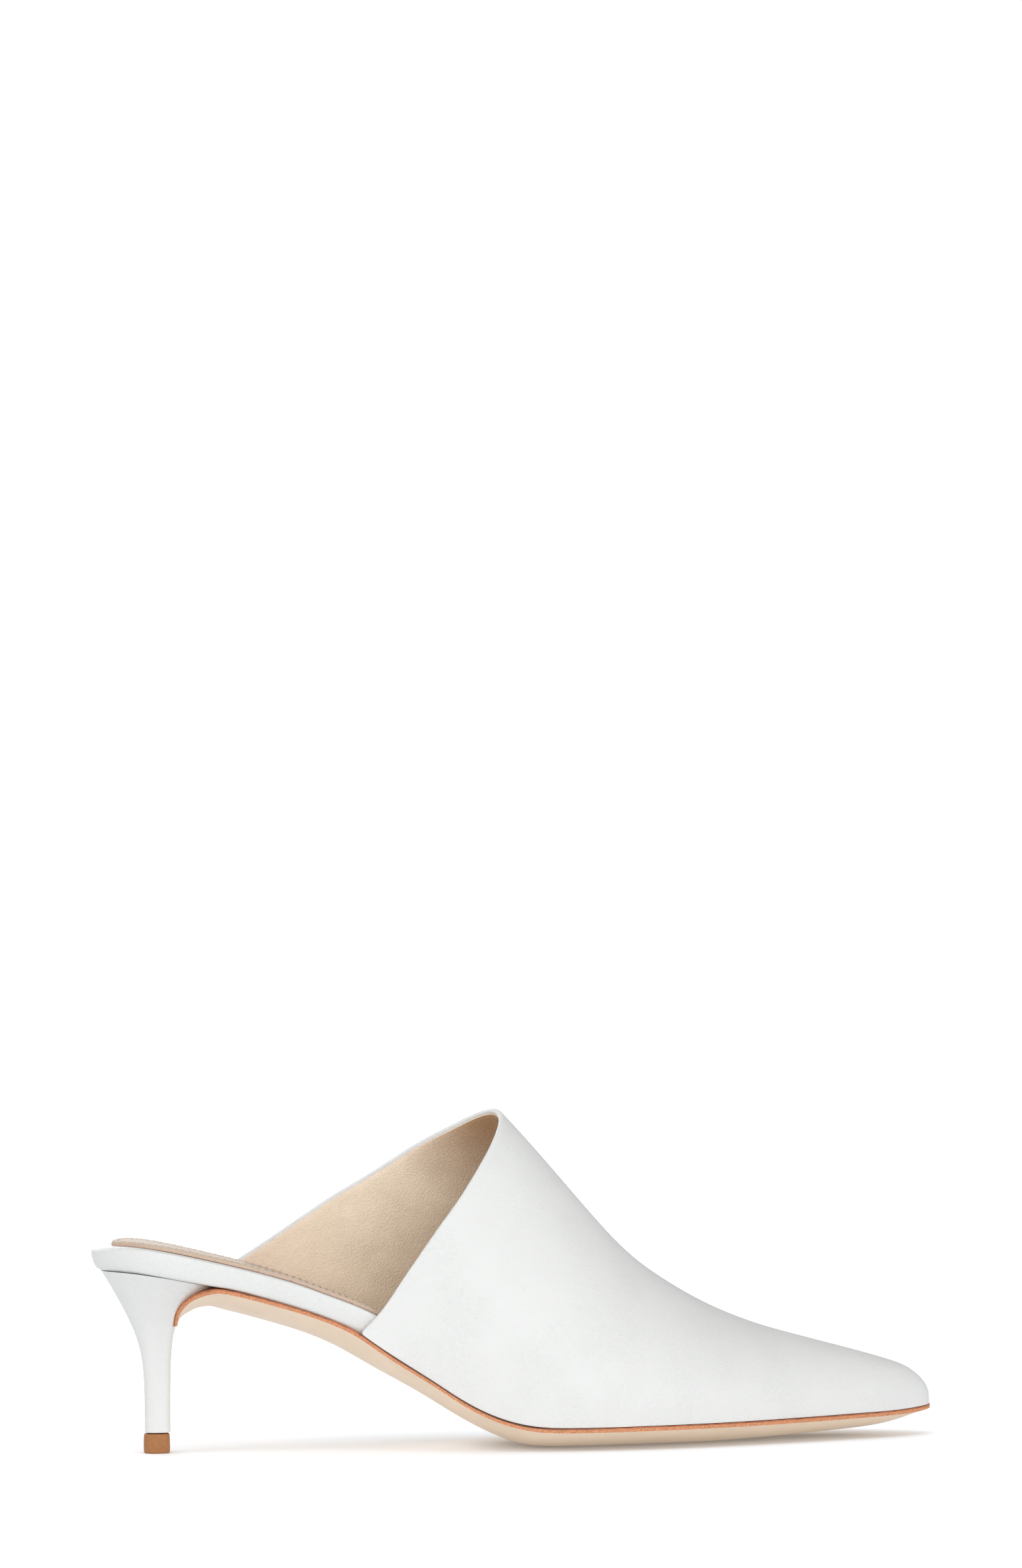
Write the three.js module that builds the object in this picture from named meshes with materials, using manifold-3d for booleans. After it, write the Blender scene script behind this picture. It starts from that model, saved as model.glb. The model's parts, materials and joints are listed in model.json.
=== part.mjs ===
// A woman's pointed-toe mule on a covered kitten heel, right foot, EU size 37 to 38.
// Millimetres, +Z up, +X towards the toe, +Y towards the inner (medial) side of the foot.
// Every piece is worked out from one last: an outline, a bottom line, a ridge line and an oblique topline.
// The last is measured from the back of the seat, and the whole shoe is then centred over its footprint.

import * as THREE from 'three';
import { mergeVertices } from 'three/addons/utils/BufferGeometryUtils.js';
import Module from 'manifold-3d';

// ---- Driving sizes --------------------------------------------------------------------------------------

const GAP = 0.3; // air between two pieces that touch in the real shoe
const WALL = 2.0; // outer leather, stiffener and lining together
const UPPER_OUTSET = WALL + 0.5; // from the side of the insole to the outside of the upper
const TOE_X = 249.2; // tip of the insole
const SEAT_ROUND = 24; // length over which the seat rounds off behind
const TOE_ROUND = 16; // length over which the toe rounds off in front

const SOLE_EDGE = 1.25; // outsole leather where it shows at the side
const SOLE_WELT = 0.4; // how far the outsole stands out past the upper, but not at the tip of the toe
const TREAD_DROP = 0.45; // how much of the rounded tread is worn flat on the floor

const SOCK_THICKNESS = 0.9;
const SOCK_INSET = 2.4; // sock lining inside the insole's edge
const SOCK_REAR_INSET = 6.5;

const HEEL_BOTTOM = 6.1; // where the covered heel ends and the top piece starts

// ---- The last -------------------------------------------------------------------------------------------

// Outline seen from above: the middle of the foot, and half the insole's width either side of it.
const OUTLINE = [
  { x: 0, middle: 0, half: 23.6 },
  { x: 18, middle: 0, half: 24.4 },
  { x: 37, middle: -0.9, half: 23.4 },
  { x: 60, middle: -1.6, half: 22.0 },
  { x: 80, middle: -2.3, half: 20.7 },
  { x: 100, middle: -3.1, half: 22.4 },
  { x: 120, middle: -3.3, half: 26.6 },
  { x: 135, middle: -2.6, half: 30.2 },
  { x: 150, middle: -1.2, half: 32.7 },
  { x: 163, middle: 0.1, half: 33.3 },
  { x: 176, middle: 1.2, half: 31.8 },
  { x: 190, middle: 2.0, half: 28.6 },
  { x: 205, middle: 2.6, half: 23.8 },
  { x: 220, middle: 2.8, half: 18.1 },
  { x: 235, middle: 2.7, half: 12.0 },
  { x: 245, middle: 2.6, half: 8.4 },
  { x: 254, middle: 2.6, half: 6.8 },
];

// Bottom of the last from the side: the height of its edge, how deep it is dished across, how far the
// outsole's middle hangs below that edge, and how thick the insole is above it.
const BOTTOM = [
  { x: 0, edge: 54.1, dish: 0, drop: 6.0, insole: 7.6 },
  { x: 10, edge: 53.7, dish: 0, drop: 6.0, insole: 8.1 },
  { x: 20, edge: 52.2, dish: 0, drop: 6.0, insole: 8.1 },
  { x: 30, edge: 50.2, dish: 0, drop: 6.2, insole: 7.8 },
  { x: 38, edge: 48.75, dish: 0.4, drop: 6.7, insole: 7.3 },
  { x: 46, edge: 46.7, dish: 1.2, drop: 6.7, insole: 7.3 },
  { x: 60, edge: 42.5, dish: 2.4, drop: 6.7, insole: 7.3 },
  { x: 68, edge: 39.6, dish: 2.8, drop: 6.7, insole: 7.0 },
  { x: 76, edge: 35.8, dish: 3.0, drop: 6.7, insole: 7.8 },
  { x: 85, edge: 29.2, dish: 2.8, drop: 5.9, insole: 10.0 },
  { x: 98, edge: 20.8, dish: 2.5, drop: 5.4, insole: 9.2 },
  { x: 108, edge: 14.0, dish: 2.6, drop: 5.0, insole: 7.6 },
  { x: 118, edge: 9.3, dish: 3.0, drop: 5.5, insole: 5.9 },
  { x: 128, edge: 7.0, dish: 3.4, drop: 6.5, insole: 4.8 },
  { x: 142, edge: 6.65, dish: 3.6, drop: 6.75, insole: 4.1 },
  { x: 160, edge: 6.8, dish: 3.4, drop: 6.9, insole: 3.7 },
  { x: 185, edge: 6.9, dish: 2.8, drop: 6.7, insole: 3.6 },
  { x: 210, edge: 7.2, dish: 2.0, drop: 5.9, insole: 3.6 },
  { x: 232, edge: 7.6, dish: 1.0, drop: 4.9, insole: 3.6 },
  { x: 240, edge: 7.8, dish: 0.6, drop: 3.5, insole: 3.6 },
  { x: 246, edge: 8.2, dish: 0.3, drop: 2.0, insole: 3.6 },
  { x: 250, edge: 8.6, dish: 0, drop: 1.2, insole: 3.6 },
  { x: 254, edge: 9.2, dish: 0, drop: 0.8, insole: 3.6 },
];

// Ridge of the upper from the side. Behind the topline's peak it carries on up the leg, where nothing is
// left of it but the curve of the two sides. Slim is how much narrower than an ellipse the section is, and
// lean is how far the ridge lies to the inner side of the foot's middle.
const RIDGE = [
  { x: 30, top: 170, bulge: 0, slim: 0, lean: 0 },
  { x: 55, top: 156, bulge: 0.4, slim: 0.05, lean: 1.0 },
  { x: 75, top: 143, bulge: 1.0, slim: 0.12, lean: 1.5 },
  { x: 95, top: 127, bulge: 1.6, slim: 0.2, lean: 2.2 },
  { x: 110, top: 112, bulge: 2.0, slim: 0.24, lean: 2.8 },
  { x: 120.5, top: 101.3, bulge: 2.0, slim: 0.25, lean: 3.0 },
  { x: 134, top: 86.3, bulge: 1.8, slim: 0.24, lean: 3.2 },
  { x: 150, top: 67.4, bulge: 1.6, slim: 0.22, lean: 2.6 },
  { x: 158, top: 58.5, bulge: 1.5, slim: 0.2, lean: 1.8 },
  { x: 166, top: 51.6, bulge: 1.4, slim: 0.18, lean: 1.2 },
  { x: 182, top: 41.6, bulge: 1.2, slim: 0.14, lean: 0.6 },
  { x: 198, top: 34.6, bulge: 1.0, slim: 0.1, lean: 0.2 },
  { x: 214, top: 29.8, bulge: 0.8, slim: 0.06, lean: 0 },
  { x: 230, top: 25.3, bulge: 0.6, slim: 0.03, lean: 0 },
  { x: 240, top: 22.2, bulge: 0.5, slim: 0, lean: 0 },
  { x: 247, top: 19.5, bulge: 0.4, slim: 0, lean: 0 },
  { x: 254, top: 17.0, bulge: 0.3, slim: 0, lean: 0 },
];
const NOSE_TOP = 11.3; // height at which the ridge has rounded down into the front of the toe
const NOSE_ROUND = 8.5; // length over which it does so

// Topline of the upper: how far along the foot it runs at each girth. Girth is -1 at the outer side's
// sole edge, 0 on the ridge and 1 at the inner side's sole edge, where the quarter reaches much further back.
const TOPLINE = [
  { girth: -1.0, x: 77.2 },
  { girth: -0.94, x: 82.9 },
  { girth: -0.84, x: 90.6 },
  { girth: -0.72, x: 99.2 },
  { girth: -0.57, x: 108.7 },
  { girth: -0.36, x: 118.0 },
  { girth: -0.15, x: 122.4 },
  { girth: 0.0, x: 122.2 },
  { girth: 0.18, x: 118.8 },
  { girth: 0.36, x: 111.1 },
  { girth: 0.53, x: 99.3 },
  { girth: 0.68, x: 85.3 },
  { girth: 0.81, x: 69.6 },
  { girth: 0.91, x: 54.2 },
  { girth: 1.0, x: 36.8 },
];

// The outsole turns down the front of the heel as a flap. Rows from its lower end up to the waist.
const FLAP = [
  { x: 24.1, edge: 37.4, half: 7.4, drop: 1.0 },
  { x: 23.9, edge: 39.8, half: 9.0, drop: 2.4 },
  { x: 24.4, edge: 42.0, half: 11.4, drop: 3.7 },
  { x: 25.6, edge: 44.1, half: 14.0, drop: 4.6 },
  { x: 27.6, edge: 46.2, half: 16.8, drop: 5.1 },
  { x: 30.2, edge: 47.6, half: 19.2, drop: 5.5 },
  { x: 33.0, edge: 48.5, half: 21.0, drop: 5.9 },
  { x: 36.0, edge: 49.0, half: 22.2, drop: 6.3 },
];

// The covered heel in slices: where each starts and ends along the foot, and half its width.
const HEEL = [
  { z: 6.1, back: 15.5, front: 23.0, half: 3.9 },
  { z: 16.7, back: 15.5, front: 23.1, half: 3.9 },
  { z: 24.3, back: 15.2, front: 23.3, half: 4.3 },
  { z: 29.5, back: 14.5, front: 23.6, half: 5.2 },
  { z: 34.0, back: 13.3, front: 24.1, half: 6.6 },
  { z: 38.5, back: 11.5, front: 25.4, half: 8.8 },
  { z: 43.7, back: 9.0, front: 29.8, half: 13.0 },
  { z: 49.2, back: 6.0, front: 37.5, half: 18.6 },
  { z: 53.4, back: 3.4, front: 42.0, half: 22.3 },
  { z: 56.6, back: 1.6, front: 44.0, half: 23.6 },
];

// ---- Reading the tables ---------------------------------------------------------------------------------

// A smooth curve through one column of a table: cubic between rows, with each row's slope taken from its
// neighbours on both sides.
function curve(rows, at, name) {
  const last = rows.length - 1;
  const slope = (i) => {
    const a = rows[Math.max(i - 1, 0)];
    const b = rows[Math.min(i + 1, last)];
    return (b[name] - a[name]) / (b[at] - a[at]);
  };
  return (x) => {
    let i = 0;
    while (i < last - 1 && x > rows[i + 1][at]) i += 1;
    const p = rows[i];
    const q = rows[i + 1];
    const width = q[at] - p[at];
    const t = THREE.MathUtils.clamp((x - p[at]) / width, 0, 1);
    const t2 = t * t;
    const t3 = t2 * t;
    return (
      (2 * t3 - 3 * t2 + 1) * p[name] +
      (t3 - 2 * t2 + t) * width * slope(i) +
      (3 * t2 - 2 * t3) * q[name] +
      (t3 - t2) * width * slope(i + 1)
    );
  };
}

const middle = curve(OUTLINE, 'x', 'middle');
const half = curve(OUTLINE, 'x', 'half');
const edge = curve(BOTTOM, 'x', 'edge');
const dish = curve(BOTTOM, 'x', 'dish');
const drop = curve(BOTTOM, 'x', 'drop');
const ridge = curve(RIDGE, 'x', 'top');
const bulge = curve(RIDGE, 'x', 'bulge');
const slim = curve(RIDGE, 'x', 'slim');
const lean = curve(RIDGE, 'x', 'lean');
const topline = curve(TOPLINE, 'girth', 'x');
const insoleThickness = curve(BOTTOM, 'x', 'insole');

// 0 at a rounded end, growing as a quarter ellipse to 1 at the distance where the rounding stops.
const roundOff = (distance) => Math.sqrt(Math.max(0, 1 - Math.max(0, 1 - distance) ** 2));
const lerp = THREE.MathUtils.lerp;
const smooth = THREE.MathUtils.smoothstep;

// Half the width of the insole's outline at x, moved out by outset (or in, where it is negative).
function halfWidth(x, outset = 0, rearOutset = outset) {
  const behind = roundOff((x + rearOutset) / (SEAT_ROUND + rearOutset));
  const ahead = roundOff((TOE_X + outset - x) / (TOE_ROUND + outset));
  return (half(x) + outset) * behind * ahead;
}

// How far y lies down into a hollow: 1 in the middle of the foot and 0 at the insole's edge.
const hollow = (x, y) => Math.max(0, 1 - ((y - middle(x)) / half(x)) ** 2);

// Top of the outsole, and so the bottom of the insole.
const soleTop = (x, y) => edge(x) - dish(x) * hollow(x, y);

// ---- Building closed bodies -----------------------------------------------------------------------------

// Collects four-cornered faces, seen anticlockwise from outside, and drops what has collapsed to a line.
class Skin {
  constructor() {
    this.positions = [];
  }

  triangle(a, b, c) {
    if (a.equals(b) || b.equals(c) || c.equals(a)) return;
    this.positions.push(...a, ...b, ...c);
  }

  quad(a, b, c, d) {
    this.triangle(a, b, c);
    this.triangle(a, c, d);
  }

  // Faces between neighbouring rows of points.
  strip(rows, turned = false) {
    for (let i = 0; i + 1 < rows.length; i += 1) {
      for (let j = 0; j + 1 < rows[i].length; j += 1) {
        const [a, b, c, d] = [rows[i][j], rows[i + 1][j], rows[i + 1][j + 1], rows[i][j + 1]];
        if (turned) this.quad(d, c, b, a);
        else this.quad(a, b, c, d);
      }
    }
  }

  // Every face is turned round where the skin was laid inside out.
  geometry() {
    const at = (i) => new THREE.Vector3().fromArray(this.positions, i);
    let volume = 0;
    for (let i = 0; i < this.positions.length; i += 9) volume += at(i).dot(at(i + 3).cross(at(i + 6)));
    if (volume < 0) {
      for (let i = 0; i < this.positions.length; i += 9) {
        const [b, c] = [at(i + 3), at(i + 6)];
        c.toArray(this.positions, i + 3);
        b.toArray(this.positions, i + 6);
      }
    }
    const made = new THREE.BufferGeometry();
    made.setAttribute('position', new THREE.Float32BufferAttribute(this.positions, 3));
    made.computeVertexNormals();
    return made;
  }
}

// A body whose cross-sections are closed rings of as many points each. An end ring that hasn't collapsed
// to a line is closed by a fan of faces about its middle.
function loft(rings) {
  const skin = new Skin();
  skin.strip(rings.map((ring) => [...ring, ring[0]]), true);
  const close = (ring, turned) => {
    const centre = ring.reduce((sum, p) => sum.add(p), new THREE.Vector3()).divideScalar(ring.length);
    if (ring.every((p) => Math.abs(p.y - centre.y) < 1e-6)) return;
    ring.forEach((p, i) => {
      const next = ring[(i + 1) % ring.length];
      if (turned) skin.triangle(centre, next, p);
      else skin.triangle(centre, p, next);
    });
  };
  close(rings[0], true);
  close(rings[rings.length - 1], false);
  return skin.geometry();
}

const steps = (count, from, to) => Array.from({ length: count + 1 }, (_, i) => lerp(from, to, i / count));

// Stations along the foot that the insole, sock lining and outsole share, so that their faces run parallel.
const SPINE = [
  28, 34, 40, 46, 52, 58, 64, 70, 75, 80, 85, 90, 95, 100, 105, 110, 115, 120, 125, 130, 137, 145, 155, 165,
  175, 185, 195, 205, 214, 222, 230, 236,
];

// The shared stations, with a piece's own added behind and ahead where its outline rounds off.
function stations(rear, tip) {
  const behind = steps(7, 0, 1).map((t) => lerp(rear, SPINE[0], t * t));
  const ahead = steps(7, 0, 1).map((t) => lerp(tip, SPINE[SPINE.length - 1], (1 - t) ** 2));
  return [...behind.slice(0, -1), ...SPINE, ...ahead.slice(1)];
}

const ACROSS = [-1, -0.7, -0.35, 0, 0.35, 0.7, 1];

// ---- Upper ----------------------------------------------------------------------------------------------

// A point on the outside of the upper. Angle is 0 at the sole edge and a quarter turn on the ridge.
function upperPoint(x, side, angle) {
  const up = Math.sin(angle);
  const out = Math.cos(angle);
  const foot = edge(x) + GAP + 0.1;
  const tip = TOE_X + UPPER_OUTSET;
  const top = lerp(NOSE_TOP, ridge(x), roundOff((tip - x) / NOSE_ROUND));
  const ahead = roundOff((tip - x) / (TOE_ROUND + UPPER_OUTSET));
  const width = (half(x) + UPPER_OUTSET) * out * (1 - slim(x) * up * up) + bulge(x) * 2 * up * out * out;
  const y = middle(x) + lean(x) * up * up + side * width * ahead;
  return new THREE.Vector3(x, y, lerp(foot, top, up));
}

// The outside of the upper as rows of points. Each row keeps one girth, from the topline to the nose.
function upperSkin(girthSteps, lengthSteps) {
  const rows = [];
  for (let i = -girthSteps; i <= girthSteps; i += 1) {
    const side = Math.sign(i) || 1;
    const angle = (1 - Math.abs(i) / girthSteps) ** 1.3 * (Math.PI / 2);
    const girth = side * (1 - angle / (Math.PI / 2));
    const from = topline(girth);
    const tip = TOE_X + UPPER_OUTSET;
    rows.push(
      steps(lengthSteps, 0, 1).map((t) => upperPoint(lerp(from, tip, 1 - (1 - t) ** 1.45), side, angle)),
    );
  }
  return rows;
}

// The same rows moved in along the surface's own normal. The nose moves straight back, and the sole edges
// move level, so that the wall stands square on the outsole.
function innerSkin(rows) {
  const lastRow = rows.length - 1;
  return rows.map((row, i) =>
    row.map((p, j) => {
      const nose = j === row.length - 1;
      const ahead = row[Math.min(j + 1, row.length - 1)];
      const beyond = rows[Math.min(i + 1, lastRow)][j];
      const across = new THREE.Vector3().subVectors(beyond, rows[Math.max(i - 1, 0)][j]);
      const along = new THREE.Vector3().subVectors(ahead, row[Math.max(j - 1, 0)]);
      const normal = nose ? new THREE.Vector3(1, 0, 0) : along.cross(across);
      if (i === 0 || i === lastRow) normal.z = 0;
      return p.clone().addScaledVector(normal.normalize(), -WALL);
    }),
  );
}

function upper() {
  const outside = upperSkin(15, 34);
  const inside = innerSkin(outside);
  const lastRow = outside.length - 1;
  const skin = new Skin();
  skin.strip(outside, true);
  skin.strip(inside);
  skin.strip([outside.map((row) => row[0]), inside.map((row) => row[0])], true);
  skin.strip([outside[0], inside[0]]);
  skin.strip([outside[lastRow], inside[lastRow]], true);
  return skin.geometry();
}

// ---- Insole and sock lining -----------------------------------------------------------------------------

// Rings around a flat piece that lies along the foot. Each point of the profile is a place across (as a
// share of the half width), an inset from the outline, and a height function of (x, y).
function layered(profile) {
  const outer = profile.map(({ inset, rearInset = inset }) => stations(rearInset, TOE_X - inset));
  return outer[0].map((_, row) =>
    profile.map(({ across, inset, rearInset = inset, height }, i) => {
      const x = outer[i][row];
      const y = middle(x) + across * halfWidth(x, -inset, -rearInset);
      return new THREE.Vector3(x, y, height(x, y));
    }),
  );
}

const footbedDish = (x) => lerp(0.8, 2.4, smooth(x, 30, 130)) * (1 - smooth(x, 200, 248));
const insoleBottom = (x, y) => soleTop(x, y) + GAP;
const insoleTop = (x, y) => edge(x) + GAP + insoleThickness(x) - footbedDish(x) * hollow(x, y);

// The padded insole, covered in the upper's leather. Its side leans out towards the top and is rounded over.
function insole() {
  const between = (share) => (x, y) => lerp(insoleBottom(x, y), insoleTop(x, y), share);
  const side = [
    { inset: 1.6, rearInset: 2.9, height: insoleBottom },
    { inset: 0.7, rearInset: 1.7, height: between(0.1) },
    { inset: 0.3, rearInset: 0.8, height: between(0.36) },
    { inset: 0, rearInset: 0.2, height: between(0.74) },
    { inset: 0.2, rearInset: 0.5, height: between(0.9) },
    { inset: 1.4, rearInset: 1.7, height: insoleTop },
  ];
  const facing = (across, points) => points.map((point) => ({ across, ...point }));
  const flat = (inner, point) => inner.flatMap((across) => facing(across, [point]));
  const inner = ACROSS.slice(1, -1);
  return loft(
    layered([
      ...facing(-1, side),
      ...flat(inner, side[side.length - 1]),
      ...facing(1, side.toReversed()),
      ...flat(inner.toReversed(), side[0]),
    ]),
  );
}

// The thin leather that the foot rests on, cut square at its edge.
function sockLining() {
  const floor = (x, y) => insoleTop(x, y) + GAP;
  const roof = (x, y) => floor(x, y) + SOCK_THICKNESS;
  const layer = (list, height) =>
    list.map((across) => ({ across, inset: SOCK_INSET, rearInset: SOCK_REAR_INSET, height }));
  return loft(layered([...layer(ACROSS, roof), ...layer(ACROSS.toReversed(), floor)]));
}

// ---- Outsole --------------------------------------------------------------------------------------------

// The outsole is flush with the insole where that shows, and stands out past the upper where it is covered.
function soleOutset(x, side) {
  const [from, to] = side < 0 ? [72, 84] : [32, 46];
  const welt = SOLE_WELT * (1 - smooth(x, 225, 240));
  return lerp(-0.7, UPPER_OUTSET + welt, smooth(x, from, to));
}

function outsole() {
  const waist = FLAP[FLAP.length - 1].x;
  const along = stations(0, TOE_X + UPPER_OUTSET).filter((x) => x > waist + 2);
  const flap = FLAP.map((row) => ({ ...row, left: row.half, right: row.half }));
  const body = along.map((x) => ({
    x,
    edge: edge(x),
    drop: drop(x) + TREAD_DROP * smooth(x, 105, 130) * (1 - smooth(x, 180, 230)),
    left: halfWidth(x, soleOutset(x, 1)),
    right: halfWidth(x, soleOutset(x, -1)),
  }));
  const path = [...flap, ...body];
  const rings = path.map((row, i) => {
    const before = path[Math.max(i - 1, 0)];
    const after = path[Math.min(i + 1, path.length - 1)];
    const down = new THREE.Vector2(after.edge - before.edge, before.x - after.x).normalize();
    const upright = smooth(row.x, 60, 100);
    down.set(lerp(down.x, 0, upright), lerp(down.y, -1, upright)).normalize();
    const rounding = lerp(2.2, 2.9, smooth(row.x, 70, 130));
    const thin = Math.min(SOLE_EDGE, row.drop);
    const belly = (across) => thin + (row.drop - thin) * (1 - Math.abs(across) ** rounding);
    const sunk = (y) => (row.x > waist ? row.edge - soleTop(row.x, y) : 0);
    const point = (across, depthAt) => {
      const y = middle(row.x) + across * (across < 0 ? row.right : row.left);
      const depth = depthAt(across, y);
      return new THREE.Vector3(row.x + down.x * depth, y, Math.max(row.edge + down.y * depth, 0));
    };
    return [
      ...ACROSS.map((across) => point(across, (_, y) => sunk(y))),
      ...[1, 0.94, 0.8, 0.6, 0.35, 0, -0.35, -0.6, -0.8, -0.94, -1].map((across) => point(across, belly)),
    ];
  });
  return loft(rings);
}

// ---- Heel and top piece ---------------------------------------------------------------------------------

// A slice of the heel at one height, as points that run once round. It is squarer in front than behind.
function heelSlice(count, z, { back, front, half: wide }, inset = 0) {
  const centre = (back + front) / 2;
  const reach = (front - back) / 2 - inset;
  const power = (value, to) => Math.sign(value) * Math.abs(value) ** to;
  return steps(count, 0, 2 * Math.PI)
    .slice(0, count)
    .map((angle) => {
      const ahead = Math.cos(angle);
      const x = centre + reach * power(ahead, ahead > 0 ? 0.5 : 0.9);
      return new THREE.Vector3(x, (wide - inset) * power(Math.sin(angle), 0.8), z);
    });
}

// A flat shape drawn from the side and carried right across the shoe, for cutting.
function sideCutter(points) {
  const reach = 60;
  const shape = new THREE.Shape(points.map(([x, z]) => new THREE.Vector2(x, z)));
  const made = new THREE.ExtrudeGeometry(shape, { depth: 2 * reach, bevelEnabled: false });
  return made.rotateX(Math.PI / 2).translate(0, reach, 0);
}

function heelBlank() {
  const [back, front, wide] = ['back', 'front', 'half'].map((name) => curve(HEEL, 'z', name));
  const heights = [6.1, 10, 16.7, 21, 25, 28, 31, 33.5, 36, 38.5, 41, 43.5, 46, 48.5, 51, 53.4, 56.6];
  return loft(heights.map((z) => heelSlice(30, z, { back: back(z), front: front(z), half: wide(z) })));
}

function topPiece() {
  const { back, front, half: wide } = HEEL[0];
  const foot = { back: back - 0.25, front: front + 0.1, half: wide + 0.2 };
  const top = HEEL_BOTTOM - GAP;
  const levels = [
    { z: 0, inset: 0.25 },
    { z: 0.25, inset: 0 },
    { z: top - 0.2, inset: 0.1 },
    { z: top, inset: 0.3 },
  ];
  return loft(levels.map(({ z, inset }) => heelSlice(30, z, foot, inset)));
}

// ---- Cutting with manifold-3d ---------------------------------------------------------------------------

const wasm = await Module();
wasm.setup();

function solid(geometry) {
  const bare = new THREE.BufferGeometry().setAttribute('position', geometry.getAttribute('position'));
  if (geometry.index) bare.setIndex(geometry.index);
  const merged = mergeVertices(bare, 1e-4);
  return new wasm.Manifold(
    new wasm.Mesh({
      numProp: 3,
      vertProperties: merged.attributes.position.array,
      triVerts: new Uint32Array(merged.index.array),
    }),
  );
}

function geometryOf(made) {
  const mesh = made.getMesh();
  const geometry = new THREE.BufferGeometry();
  geometry.setAttribute('position', new THREE.BufferAttribute(mesh.vertProperties, 3));
  geometry.setIndex(new THREE.BufferAttribute(mesh.triVerts, 1));
  geometry.computeVertexNormals();
  return geometry;
}

// The heel block fits under the seat and behind the outsole's flap, clear of both.
function heel() {
  const seat = [-2, 3, 8, 13, 18, 23, 28, 34, 40, 46].map((x) => [x, soleTop(x, middle(x)) - 0.05]);
  const aboveSeat = sideCutter([...seat, [46, 90], [-2, 90]]);
  const front = FLAP.map((row, i) => {
    const before = FLAP[Math.max(i - 1, 0)];
    const after = FLAP[Math.min(i + 1, FLAP.length - 1)];
    const back = new THREE.Vector2(before.edge - after.edge, after.x - before.x).normalize();
    return [row.x + back.x * GAP, row.edge + back.y * GAP];
  });
  const [lowX, lowZ] = front[0];
  const flapSide = [[60, lowZ - GAP], [60, 70], [44, 70], ...front.reverse(), [lowX, lowZ - GAP]];
  const beforeFlap = sideCutter(flapSide);
  return geometryOf(solid(heelBlank()).subtract(solid(aboveSeat)).subtract(solid(beforeFlap)));
}

// ---- The shoe -------------------------------------------------------------------------------------------

const WHITE_NAPPA = { color: 0xeceeed, roughness: 0.5, metalness: 0 };
const BEIGE_KID = { color: 0xd9c4b0, roughness: 0.6, metalness: 0 };
const BEIGE_SOLE = { color: 0xd9cab8, roughness: 0.55, metalness: 0 };
const TAN_RUBBER = { color: 0xb27a4c, roughness: 0.6, metalness: 0 };

const shoe = new THREE.Group();
const pieces = new THREE.Group();
const add = (name, geometry, finish) => {
  const mesh = new THREE.Mesh(geometry, new THREE.MeshStandardMaterial(finish));
  mesh.name = name;
  pieces.add(mesh);
};

add('outsole', outsole(), BEIGE_SOLE);
add('insole', insole(), WHITE_NAPPA);
add('sock_lining', sockLining(), BEIGE_KID);
add('upper', upper(), WHITE_NAPPA);
add('heel', heel(), WHITE_NAPPA);
add('top_piece', topPiece(), TAN_RUBBER);

const box = new THREE.Box3().setFromObject(pieces);
const centre = box.getCenter(new THREE.Vector3());
pieces.position.set(-centre.x, -centre.y, -box.min.z);
shoe.add(pieces);

export default shoe;
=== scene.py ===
import json
import math
from contextlib import contextmanager

import bmesh
import bpy
import numpy as np
from bpy.props import FloatProperty, FloatVectorProperty, PointerProperty
from mathutils import Matrix, Vector

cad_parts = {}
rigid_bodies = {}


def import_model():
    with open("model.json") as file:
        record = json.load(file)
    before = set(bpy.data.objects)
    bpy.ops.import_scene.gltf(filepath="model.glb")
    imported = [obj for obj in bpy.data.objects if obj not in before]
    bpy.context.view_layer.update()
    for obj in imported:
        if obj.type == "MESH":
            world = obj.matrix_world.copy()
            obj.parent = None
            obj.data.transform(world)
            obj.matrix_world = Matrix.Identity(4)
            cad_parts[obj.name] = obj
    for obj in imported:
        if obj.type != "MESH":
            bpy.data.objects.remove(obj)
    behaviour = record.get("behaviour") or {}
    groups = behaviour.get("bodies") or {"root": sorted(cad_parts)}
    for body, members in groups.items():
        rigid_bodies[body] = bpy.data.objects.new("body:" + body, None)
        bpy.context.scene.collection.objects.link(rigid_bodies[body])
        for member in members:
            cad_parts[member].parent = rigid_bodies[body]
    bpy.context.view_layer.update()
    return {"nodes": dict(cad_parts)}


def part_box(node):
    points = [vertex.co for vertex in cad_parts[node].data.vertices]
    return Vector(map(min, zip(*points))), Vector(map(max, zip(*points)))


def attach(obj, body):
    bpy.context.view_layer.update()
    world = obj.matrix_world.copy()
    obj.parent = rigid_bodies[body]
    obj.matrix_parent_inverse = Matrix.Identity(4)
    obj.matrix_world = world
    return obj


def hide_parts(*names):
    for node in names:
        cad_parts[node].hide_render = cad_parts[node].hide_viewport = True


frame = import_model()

bl_info = {
    "name": "Kitten heel mule",
    "version": (1, 0, 0),
    "blender": (4, 5, 0),
    "location": "3D View > Sidebar > Mule",
    "description": "Leather, edges, stitches and a plain stage for a pointed kitten heel mule",
    "category": "Object",
}

MM = 0.001

# Places on the shoe: from the back of the upper forward to its peak, to a spot inside it and to one under its
# edge, and from the back of the sole forward to the ball.
PEAK = 84 * MM
INSTEP = 100 * MM
BALL_EDGE = 130 * MM
SOLE_BALL = 143 * MM

# Small distances between pieces: the lining in its hollow, thread above leather, the sock lining's glued
# underside into the insole, the sole's top towards the upper, and air between the heel and the sole's flap.
LINING_AIR = 0.02 * MM
THREAD_AIR = 0.08 * MM
SOCK_SINK = 0.45 * MM
SOLE_RISE = 0.07 * MM
FLAP_AIR = 0.12 * MM

# Shades that follow from the main colours and aren't worth a setting of their own: painted light on the
# lining's front, painted shade in its peak and in the needle holes, and the floor's paper.
LINING_FRONT_PAINTED_LIGHT = "#FFECD2"
LINING_PEAK_PAINTED_SHADE = "#A27850"
NEEDLE_HOLE_SHADE = "#C3A088"
PAPER = "#E9EBEE"


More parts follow.
